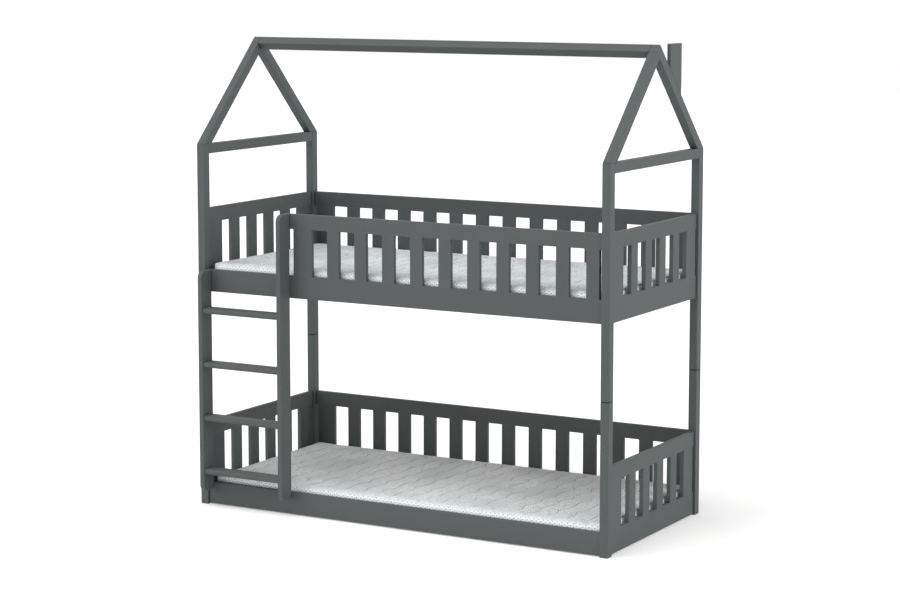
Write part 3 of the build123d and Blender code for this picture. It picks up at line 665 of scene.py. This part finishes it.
    def build(self, panel: ClothPanel, level: Level, seam_pitch: float, width: float) -> bpy.types.Material:
        """Makes the knit for one panel of a cover.

        Args:
            panel: The panel.
            level: The bed that the cover lies in.
            seam_pitch: From quilting seam to quilting seam, in metres.
            width: Of the cover across the bed, in metres, where the seams run out.

        Returns:
            The material.
        """
        look = panel.value
        material, tree, shader = new_material(f"quilted_knit_{level.value}_{panel.name.lower()}")
        uv = add_node(tree, "ShaderNodeUVMap", {"uv_map": "cloth"}).outputs["UV"]
        parts = add_node(tree, "ShaderNodeSeparateXYZ", links={"Vector": uv})
        u, v = parts.outputs["X"], parts.outputs["Y"]
        dots = self.staggered_dots(tree, u, v)
        seams = self.lines(tree, u, seam_pitch, self.seam_width_mm * MM)
        seams = self.uneven(tree, self.run_out(tree, seams, v, width), uv)
        raw_ribs = self.ribs(tree, uv, u)
        centred = add_node(tree, "ShaderNodeMath", {"operation": "SUBTRACT", 1: self.rib_mean},
                           {0: raw_ribs})
        ribs = self.run_out(tree, centred.outputs[0], v, width)
        rows = self.lines(tree, u, self.tack_pitch_mm * MM, self.tack_width_mm * MM)
        steps = self.lines(tree, v, self.tack_step_mm * MM, self.tack_step_mm * MM / 2)
        tacks = add_node(tree, "ShaderNodeMath", {"operation": "MULTIPLY"}, {0: rows, 1: steps})
        yarn = add_node(tree, "ShaderNodeTexVoronoi",
                        {"feature": "F1", "Scale": 1 / (self.yarn_mm * MM), "Randomness": 0.7},
                        {"Vector": uv})
        combed = add_node(tree, "ShaderNodeMapping", {"Scale": (1.0, self.fuzz_stretch, 1.0)},
                          {"Vector": uv})
        fuzz = add_node(tree, "ShaderNodeTexNoise",
                        {"Scale": 1 / (self.fuzz_mm * MM), "Detail": 3.0, "Roughness": 0.6},
                        {"Vector": combed.outputs["Vector"]})
        # Painted shade: the colour is darker in the hollows between the ribs; the fuzz adds a tone that
        # differs at random.
        shade = add_node(tree, "ShaderNodeMath", {"operation": "MULTIPLY_ADD", 1: look.ribs},
                         {0: ribs, 2: fuzz.outputs["Fac"]})
        spread = add_node(tree, "ShaderNodeMapRange", span(self.tone_range), {"Value": shade.outputs[0]})
        base = add_node(tree, "ShaderNodeMix", {"data_type": "RGBA", 6: linear(look.dip_colour),
                                                7: linear(look.colour)}, {0: spread.outputs["Result"]})
        colour = self.darkened(tree, base.outputs[2], dots, look.dots, self.dot_colour)
        colour = self.darkened(tree, colour, tacks.outputs[0], look.tacks, self.dot_colour)
        if panel is ClothPanel.TOP:
            flecks = add_node(tree, "ShaderNodeMapRange", span(self.fleck_range),
                              {"Value": fuzz.outputs["Fac"]})
            colour = self.darkened(tree, colour, flecks.outputs["Result"], self.fleck_share, self.dot_colour)
            # Painted shade, with the thread and dust: the seams are darker.
            colour = self.darkened(tree, colour, seams, self.seam_share, self.seam_colour)
        tree.links.new(colour, shader.inputs["Base Color"])
        stitch = add_node(tree, "ShaderNodeBump",
                          {"Strength": self.yarn_strength, "Distance": self.yarn_height_mm * MM},
                          {"Height": yarn.outputs["Distance"]})
        ribbed = add_node(tree, "ShaderNodeBump",
                          {"Strength": look.ribs, "Distance": self.rib_height_mm * MM},
                          {"Height": ribs, "Normal": stitch.outputs["Normal"]})
        tucked = add_node(tree, "ShaderNodeBump",
                          {"Strength": self.tuck_strength, "Distance": self.tuck_depth_mm * MM,
                           "invert": True},
                          {"Height": dots, "Normal": ribbed.outputs["Normal"]})
        tree.links.new(tucked.outputs["Normal"], shader.inputs["Normal"])
        set_sockets(shader, {"Roughness": self.roughness, "Specular IOR Level": self.specular,
                             "Sheen Weight": self.sheen, "Sheen Roughness": self.sheen_roughness})
        return material


@dataclass(frozen=True)
class SeamlessPaper:
    """White translucent paper on a lit table, which glows evenly and takes a soft shadow."""

    colour: str = "ECECEC"
    roughness: float = 0.9
    glow: float = 0.28
    tooth_per_m: float = 3.0
    tooth_height_mm: float = 1.0
    tooth_strength: float = 0.02

    def build(self) -> bpy.types.Material:
        """Makes the paper.

        Returns:
            The material.
        """
        material, tree, shader = new_material("studio_paper")
        place = add_node(tree, "ShaderNodeTexCoord").outputs["Object"]
        tooth = add_node(tree, "ShaderNodeTexNoise", {"Scale": self.tooth_per_m, "Detail": 2.0},
                         {"Vector": place})
        relief = add_node(tree, "ShaderNodeBump",
                          {"Strength": self.tooth_strength, "Distance": self.tooth_height_mm * MM},
                          {"Height": tooth.outputs["Fac"]})
        tree.links.new(relief.outputs["Normal"], shader.inputs["Normal"])
        set_sockets(shader, {"Base Color": linear(self.colour), "Roughness": self.roughness,
                             "Specular IOR Level": 0.0, "Emission Color": WHITE,
                             "Emission Strength": self.glow})
        return material


@dataclass
class FinishRack:
    """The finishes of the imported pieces, each one mixed once and then used again."""

    paint: GraphitePaint = GraphitePaint()
    pine: BarePine = BarePine()
    steel: ZincSteel = ZincSteel()
    mixed: dict[tuple[Any, ...], bpy.types.Material] = field(default_factory=dict)

    def take(self, slot: str, group: str, grain: Grain, wear: float, arris_mm: float,
             joint_z: float | None) -> bpy.types.Material:
        """Gives the finish for a piece.

        Args:
            slot: The record's material slot.
            group: The name of the sub-assembly.
            grain: The way in which the piece's grain runs.
            wear: How much of the arrises is painted lighter, partly as rubbing by hands and feet and partly
                as a painted highlight, from 0 to 1.
            arris_mm: How far the lighter band reaches in from an arris.
            joint_z: The height in metres at which two of the group's boards meet end to end, or None.

        Returns:
            The material.
        """
        if slot == "zinc_steel":
            key, mix = (slot,), self.steel.build
        elif slot == "bare_wood":
            key, mix = (slot, grain), partial(self.pine.build, grain)
        else:
            key = (slot, group, grain)
            mix = partial(self.paint.build, group, grain, wear, arris_mm, joint_z)
        if key not in self.mixed:
            self.mixed[key] = mix()
        return self.mixed[key]


@dataclass
class SubAssembly:
    """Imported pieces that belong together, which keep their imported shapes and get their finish."""

    nodes: dict[str, bpy.types.Object]
    slots: dict[str, str]
    # How much of the arrises is painted lighter: real rubbing and a painted highlight.
    wear: float = 0.2
    arris_mm: float = 2.0
    # The way of the grain by the end of a piece's node name.
    grain_of: ClassVar[dict[str, Grain]] = {}

    @property
    def group(self) -> str:
        """The sub-assembly's name."""
        return type(self).__name__.lower()

    @property
    def joint_z(self) -> float | None:
        """The height in metres at which two of its boards meet end to end, if they do."""
        return None

    def grains(self) -> dict[str, Grain]:
        """The way of the grain in each of its pieces, by node name."""
        return {name: grain for name in self.nodes for end, grain in self.grain_of.items()
                if name.endswith(end)}

    def dress(self, rack: FinishRack) -> None:
        """Gives each of its pieces its finish.

        Args:
            rack: The finishes.
        """
        for name, grain in self.grains().items():
            finish = rack.take(self.slots[name], self.group, grain, self.wear, self.arris_mm,
                               self.joint_z)
            piece = self.nodes[name].data
            piece.materials.clear()
            piece.materials.append(finish)
            LOG.info("%s gets %s", name, finish.name)


@dataclass
class CornerPosts(SubAssembly):
    """The four posts, each in two lengths, with upright grain."""

    wear: float = 0.3

    @property
    def joint_z(self) -> float:
        """The height in metres at which the lower and upper posts meet."""
        return max(corner.co.z for name, post in self.nodes.items() if name.startswith("lower_post_")
                   for corner in post.data.vertices)

    def grains(self) -> dict[str, Grain]:
        """The way of the grain in each post, by node name."""
        return {name: Grain.ALONG_Z for name in self.nodes if "_post_" in name}


@dataclass
class SlattedPanels(SubAssembly):
    """The rails and upright slats of both beds' fronts, backs and ends, and of the guard."""

    wear: float = 0.35

    def grains(self) -> dict[str, Grain]:
        """Finds the rails and upright slats by their node names.

        Returns:
            The way of the grain by node name.
        """
        rails = {name: Grain.ALONG_Y if "_left_" in name or "_right_" in name else Grain.ALONG_X
                 for name in self.nodes if name.endswith("_rail")}
        slats = {name: Grain.ALONG_Z for name in self.nodes
                 if name.endswith("_slats") and not name.endswith("bed_slats")}
        return rails | slats


@dataclass
class Ladder(SubAssembly):
    """Two uprights and four rungs, whose arrises hands and feet rub the most, with the strongest painted
    highlight.
    """

    wear: float = 0.7
    arris_mm: float = 3.0

    def grains(self) -> dict[str, Grain]:
        """The way of the grain in each upright and rung, by node name."""
        return {name: Grain.ALONG_X if "_rung_" in name else Grain.ALONG_Z for name in self.nodes
                if name.startswith("ladder_") and not name.endswith("screws")}


@dataclass
class HouseRoof(SubAssembly):
    """Ties, rafters, ridge beam and chimney board, out of reach, hardly rubbed, with the faintest painted
    highlight.
    """

    wear: float = 0.1
    grain_of: ClassVar[dict[str, Grain]] = {
        "front_rafter": Grain.FRONT_SLOPE, "back_rafter": Grain.BACK_SLOPE, "_tie": Grain.ALONG_Y,
        "ridge_beam": Grain.ALONG_X, "chimney_board": Grain.ALONG_Z}


@dataclass
class SlatBases(SubAssembly):
    """The ledgers and crosswise bed slats under the mattresses."""

    grain_of: ClassVar[dict[str, Grain]] = {"ledgers": Grain.ALONG_X, "bed_slats": Grain.ALONG_Y}


@dataclass
class Fasteners(SubAssembly):
    """Dowels, pins, screws, cams and cam bolts in the joints. Only the dowels have a grain that shows."""

    grain_of: ClassVar[dict[str, Grain]] = {
        end: Grain.ALONG_X for end in ("dowels", "pins", "screws", "cams", "cam_bolts")}


@dataclass(frozen=True)
class Swelling:
    """A light, stiff cloth under a little air pressure. Its fields are named as the settings of a cloth."""

    quality: int = 5
    mass: float = 0.2
    tension_stiffness: float = 12.0
    compression_stiffness: float = 12.0
    shear_stiffness: float = 6.0
    bending_stiffness: float = 0.5
    use_pressure: bool = True
    uniform_pressure_force: float = 4.0

    def fill_in(self, settings: bpy.types.ClothSettings) -> None:
        """Writes its values to a cloth's settings."""
        for name, value in asdict(self).items():
            setattr(settings, name, value)


@dataclass
class Mattress:
    """A foam mattress in a quilted knit cover.

    The cover is one closed form: its border bulges between its two edges, and its top swells
    between wavy quilting seams that run across the bed and fade out at the shoulder.
    """

    level: Level
    seam_pitch_mm: float = 77.0
    seam_depth_mm: float = 5.5
    # How much deeper and shallower than that a seam gets, and how fast along and across the bed.
    uneven_share: float = 0.2
    uneven_turns: tuple[float, float] = (41.0, 7.0)
    edge_radius_mm: float = 8.0
    edge_segments: int = 3
    # The room left for the swelling at each side, and how much of it in length, width and height.
    shrink_mm: float = 1.5
    shrink_shares: tuple[float, float, float] = (1.0, 1.0, 0.5)
    wave_mm: float = 8.0
    wave_length_mm: float = 132.0
    # The size and pace of a second wave over the first, as shares of it.
    ripple: tuple[float, float] = (0.45, 1.7)
    # A seam's start in the wave, which wanders along the bed: its swing, its pace and its steady part.
    drift: tuple[float, float, float] = (1.7, 2.9, 3.1)
    lean_mm: float = 55.0
    end_fade_mm: float = 150.0
    shoulder_fade_mm: float = 45.0
    # The cuts across a channel, closer together near the seam.
    column_shares: tuple[float, ...] = (0.0, 0.05, 0.12, 0.28, 0.5, 0.72, 0.88, 0.95)
    cell_mm: float = 14.0
    weld_mm: float = 0.3
    top_reach_mm: float = 0.5
    sewn_share: float = 0.99
    border_low_mm: float = 8.0
    border_high_mm: float = 72.0
    swelling: Swelling = Swelling()
    frames: int = 20
    cap_mm: float = 3.0

    @property
    def cover_node(self) -> str:
        """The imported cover's node name."""
        return f"{self.level.value}_mattress_cover"

    def channel_count(self, length: float) -> int:
        """How many channels fit in a length, in metres."""
        return max(1, round(length / (self.seam_pitch_mm * MM)))

    def wave(self, place: Vector, half: Vector) -> float:
        """How far a quilting seam strays along the bed.

        Args:
            place: The place on the cover, from its middle, in metres.
            half: Half of the cover's size, in metres.

        Returns:
            The shift along the bed, in metres, which fades out at the ends.
        """
        fade = eased((half.x - abs(place.x)) / (self.end_fade_mm * MM))
        turns = 2 * math.pi * place.y / (self.wave_length_mm * MM)
        swing, pace, steady = self.drift
        start = swing * math.sin(pace * place.x) + steady * place.x
        share, faster = self.ripple
        stray = self.wave_mm * (math.sin(turns + start) + share * math.sin(faster * turns - 2 * start))
        lean = self.lean_mm * place.y / (2 * half.y)
        return (stray + lean) * MM * fade

    def seam_share(self, x: float, half_length: float) -> float:
        """How near a place along the bed is to a quilting seam.

        Args:
            x: The place along the bed, from the middle, in metres.
            half_length: Half of the cover's length, in metres.

        Returns:
            From 0 in mid-channel to 1 on a seam. The two ends of the cover have no seam.
        """
        count = self.channel_count(2 * half_length)
        share = (x + half_length) / (2 * half_length) * count
        if share < 0.5 or share > count - 0.5:
            return 0.0
        return abs(2 * (share - math.floor(share)) - 1)

    def dip(self, place: Vector, half: Vector) -> float:
        """How deep the quilting draws the top in.

        Args:
            place: The place on the top, from the cover's middle, in metres.
            half: Half of the cover's size, in metres.

        Returns:
            The depth, in metres: a round pillow between seams, which runs out at the shoulder.
        """
        near = self.seam_share(place.x, half.x)
        pillow = 1 - math.sqrt(max(0.0, 1 - near * near))
        along, across = self.uneven_turns
        uneven = 1 + self.uneven_share * math.sin(along * place.x + across * place.y)
        shoulder = eased((half.y - abs(place.y)) / (self.shoulder_fade_mm * MM))
        return self.seam_depth_mm * MM * pillow * uneven * shoulder

    def block(self, low: Vector, high: Vector) -> bmesh.types.BMesh:
        """A round-edged block, cut into cells that crowd at the seams.

        Args:
            low: The lowest corner, in metres, in the mattress's own place.
            high: The highest corner.

        Returns:
            The block, with its middle at the origin.
        """
        size = high - low
        form = bmesh.new()
        bmesh.ops.create_cube(form, size=1.0)
        bmesh.ops.scale(form, verts=form.verts, vec=size)
        bmesh.ops.bevel(form, geom=form.edges[:], offset=self.edge_radius_mm * MM, affect="EDGES",
                        segments=self.edge_segments, profile=0.5, material=-1)
        channels = self.channel_count(size.x)
        rows = round(size.y / (self.cell_mm * MM))
        layers = round(size.z / (self.cell_mm * MM))
        columns = [(n + share) / channels for n in range(channels) for share in self.column_shares]
        cuts = ((Vector((1, 0, 0)), columns),
                (Vector((0, 1, 0)), [n / rows for n in range(1, rows)]),
                (Vector((0, 0, 1)), [n / layers for n in range(1, layers)]))
        for axis, shares in cuts:
            for share in shares:
                whole = form.verts[:] + form.edges[:] + form.faces[:]
                bmesh.ops.bisect_plane(form, geom=whole, dist=ON_PLANE, plane_no=axis,
                                       plane_co=axis * (size.dot(axis) * (share - 0.5)))
        bmesh.ops.remove_doubles(form, verts=form.verts, dist=self.weld_mm * MM)
        # The cuts leave them in an order that changes from run to run, and the cloth would feel that.
        form.verts.index_update()
        form.edges.sort(key=rank)
        form.faces.sort(key=rank)
        return form

    def lay_out(self, form: bmesh.types.BMesh, half: Vector) -> None:
        """Writes the cloth's UV map and marks the border's faces, while the form is still straight.

        Args:
            form: The block.
            half: Half of its size, in metres.
        """
        layer = form.loops.layers.uv.new("cloth")
        low = self.border_low_mm * MM - half.z
        high = self.border_high_mm * MM - half.z
        for face in form.faces:
            middle = face.calc_center_median()
            face.smooth = True
            on_border = low < middle.z < high
            face.material_index = 1 if on_border else 0
            facing_x = abs(face.normal.x) > abs(face.normal.y)
            for loop in face.loops:
                place = loop.vert.co + half
                if on_border:
                    loop[layer].uv = (place.y if facing_x else place.x, place.z)
                else:
                    loop[layer].uv = (place.x, place.y)

    def quilt(self, form: bmesh.types.BMesh, half: Vector) -> list[int]:
        """Draws the seams in and bends them into waves.

        Args:
            form: The block.
            half: Half of its size, in metres.

        Returns:
            The vertices that the sewing and the foam hold still while the cover swells.
        """
        held = []
        for vert in form.verts:
            place = vert.co.copy()
            on_top = place.z > half.z - self.top_reach_mm * MM
            clear = half.y - abs(place.y) > self.shoulder_fade_mm * MM
            sewn = self.seam_share(place.x, half.x) > self.sewn_share
            if place.z < 0 or (on_top and clear and sewn):
                held.append(vert.index)
            if on_top:
                vert.co.z -= self.dip(place, half)
            vert.co.x += self.wave(place, half)
        return held

    def swell(self, piece: bpy.types.Object, held: list[int]) -> None:
        """Blows the cover up with cloth pressure and keeps the result in the mesh.

        Args:
            piece: The cover.
            held: The vertices that the sewing and the foam hold still.
        """
        scene = bpy.context.scene
        rest = [vert.co.copy() for vert in piece.data.vertices]
        piece.vertex_groups.new(name="held").add(held, 1.0, "REPLACE")
        cloth = piece.modifiers.new("swell", "CLOTH")
        cloth.settings.vertex_group_mass = "held"
        self.swelling.fill_in(cloth.settings)
        cloth.settings.effector_weights.gravity = 0.0
        cloth.collision_settings.use_collision = False
        cloth.point_cache.frame_start = 1
        cloth.point_cache.frame_end = self.frames
        for frame_number in range(1, self.frames + 1):
            scene.frame_set(frame_number)
        swollen = piece.evaluated_get(bpy.context.evaluated_depsgraph_get()).data
        moved = [vert.co.copy() for vert in swollen.vertices]
        piece.modifiers.remove(cloth)
        piece.vertex_groups.clear()
        limit = self.cap_mm * MM
        for vert, start, end in zip(piece.data.vertices, rest, moved):
            step = end - start
            vert.co = start + (step * (limit / step.length) if step.length > limit else step)
        scene.frame_set(1)

    def build(self, knit: QuiltedKnit) -> None:
        """Makes the cover in its packed place and dresses it.

        Args:
            knit: The cover's cloth.
        """
        low, high = (Vector(corner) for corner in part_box(self.cover_node))
        inset = Vector(self.shrink_shares) * (self.shrink_mm * MM)
        half = (high - low) / 2 - inset
        form = self.block(low + inset, high - inset)
        self.lay_out(form, half)
        held = self.quilt(form, half)
        mesh = bpy.data.meshes.new(self.cover_node)
        form.to_mesh(mesh)
        form.free()
        piece = bpy.data.objects.new(f"{self.level.value}_quilted_cover", mesh)
        bpy.context.scene.collection.objects.link(piece)
        self.swell(piece, held)
        for vert in mesh.vertices:
            vert.co += (low + high) / 2
        smooth = piece.modifiers.new("smooth", "SUBSURF")
        smooth.levels = smooth.render_levels = 1
        pitch = 2 * half.x / self.channel_count(2 * half.x)
        for panel in ClothPanel:
            mesh.materials.append(knit.build(panel, self.level, pitch, 2 * half.y))
        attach(piece, f"{self.level.value}_mattress")
        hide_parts(self.cover_node, f"{self.level.value}_mattress_core")
        LOG.info("%s has %d faces", piece.name, len(mesh.polygons))


@dataclass(frozen=True)
class Softbox:
    """A broad lamp far away. Its side is counted from straight in front of the bed to its right."""

    name: str
    side_deg: float
    height_deg: float
    strength: float
    width_deg: float = 60.0

    def hang(self) -> None:
        """Sets the lamp up."""
        lamp = bpy.data.lights.new(self.name, "SUN")
        lamp.energy = self.strength
        lamp.angle = math.radians(self.width_deg)
        holder = bpy.data.objects.new(self.name, lamp)
        holder.rotation_euler = (math.radians(90 - self.height_deg), 0, math.radians(self.side_deg))
        bpy.context.scene.collection.objects.link(holder)
        LOG.info("%s hung", self.name)


@dataclass
class Studio:
    """The white floor, the soft lamps and the camera, which match the picture's view."""

    floor_half_size: float = 30.0
    camera_place: tuple[float, float, float] = (4.7592, -8.3255, 2.2634)
    camera_turn_deg: float = 29.606
    camera_tilt_deg: float = 7.159
    lens_mm: float = 94.956
    shift_up: float = -0.05
    sky_strength: float = 0.15
    softboxes: tuple[Softbox, ...] = (
        Softbox("high_front_softbox", 0.0, 65.0, 1.0, 40.0), Softbox("low_left_softbox", -45.0, 10.0, 1.5),
        Softbox("high_left_softbox", -45.0, 60.0, 0.55, 40.0), Softbox("side_softbox", -90.0, 50.0, 0.4),
        Softbox("right_softbox", 90.0, 10.0, 2.3), Softbox("low_back_softbox", 180.0, 10.0, 0.21),
        Softbox("high_back_softbox", 180.0, 50.0, 0.25), Softbox("ceiling_softbox", 0.0, 89.0, 0.4))

    def build(self) -> None:
        """Makes the floor, the light and the camera."""
        self.lay_floor()
        self.light_room()
        for softbox in self.softboxes:
            softbox.hang()
        self.set_camera()
        bpy.context.scene.view_settings.view_transform = "Standard"

    def lay_floor(self) -> None:
        """Lays the paper on which the bed stands."""
        sheet = bmesh.new()
        bmesh.ops.create_grid(sheet, x_segments=4, y_segments=4, size=self.floor_half_size)
        mesh = bpy.data.meshes.new("studio_floor")
        sheet.to_mesh(mesh)
        sheet.free()
        floor = bpy.data.objects.new("studio_floor", mesh)
        mesh.materials.append(SeamlessPaper().build())
        bpy.context.scene.collection.objects.link(floor)
        LOG.info("floor laid")

    def light_room(self) -> None:
        """Fills the room with even light, and shows plain white behind the bed."""
        world = bpy.data.worlds.new("white_room")
        world.use_nodes = True
        tree = world.node_tree
        tree.nodes.clear()
        seen = seen_directly(tree, add_node(tree, "ShaderNodeLightPath"))
        light = add_node(tree, "ShaderNodeBackground", {"Color": WHITE, "Strength": self.sky_strength})
        white = add_node(tree, "ShaderNodeBackground", {"Color": WHITE, "Strength": 1.0})
        both = add_node(tree, "ShaderNodeMixShader",
                        links={0: seen, 1: light.outputs[0], 2: white.outputs[0]})
        add_node(tree, "ShaderNodeOutputWorld", links={"Surface": both.outputs[0]})
        bpy.context.scene.world = world

    def set_camera(self) -> None:
        """Sets the camera where the picture was taken from."""
        lens = bpy.data.cameras.new("camera")
        lens.sensor_width = SENSOR_WIDTH_MM
        lens.lens = self.lens_mm
        lens.shift_y = self.shift_up
        lens.dof.use_dof = False
        camera = bpy.data.objects.new("camera", lens)
        camera.location = self.camera_place
        camera.rotation_euler = (math.radians(90 - self.camera_tilt_deg), 0,
                                 math.radians(self.camera_turn_deg))
        bpy.context.scene.collection.objects.link(camera)
        bpy.context.scene.camera = camera


def main() -> None:
    """Dresses the bed, piece by piece."""
    logging.basicConfig(level=logging.INFO, format="%(name)s: %(message)s")
    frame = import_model()
    slots = {part["node"]: part["material_slot"] for part in frame["record"]["subparts"]}
    Studio().build()
    rack = FinishRack()
    for kind in (CornerPosts, SlattedPanels, Ladder, HouseRoof, SlatBases, Fasteners):
        kind(frame["nodes"], slots).dress(rack)
    knit = QuiltedKnit()
    for level in Level:
        Mattress(level).build(knit)


if __name__ == "__main__":
    main()
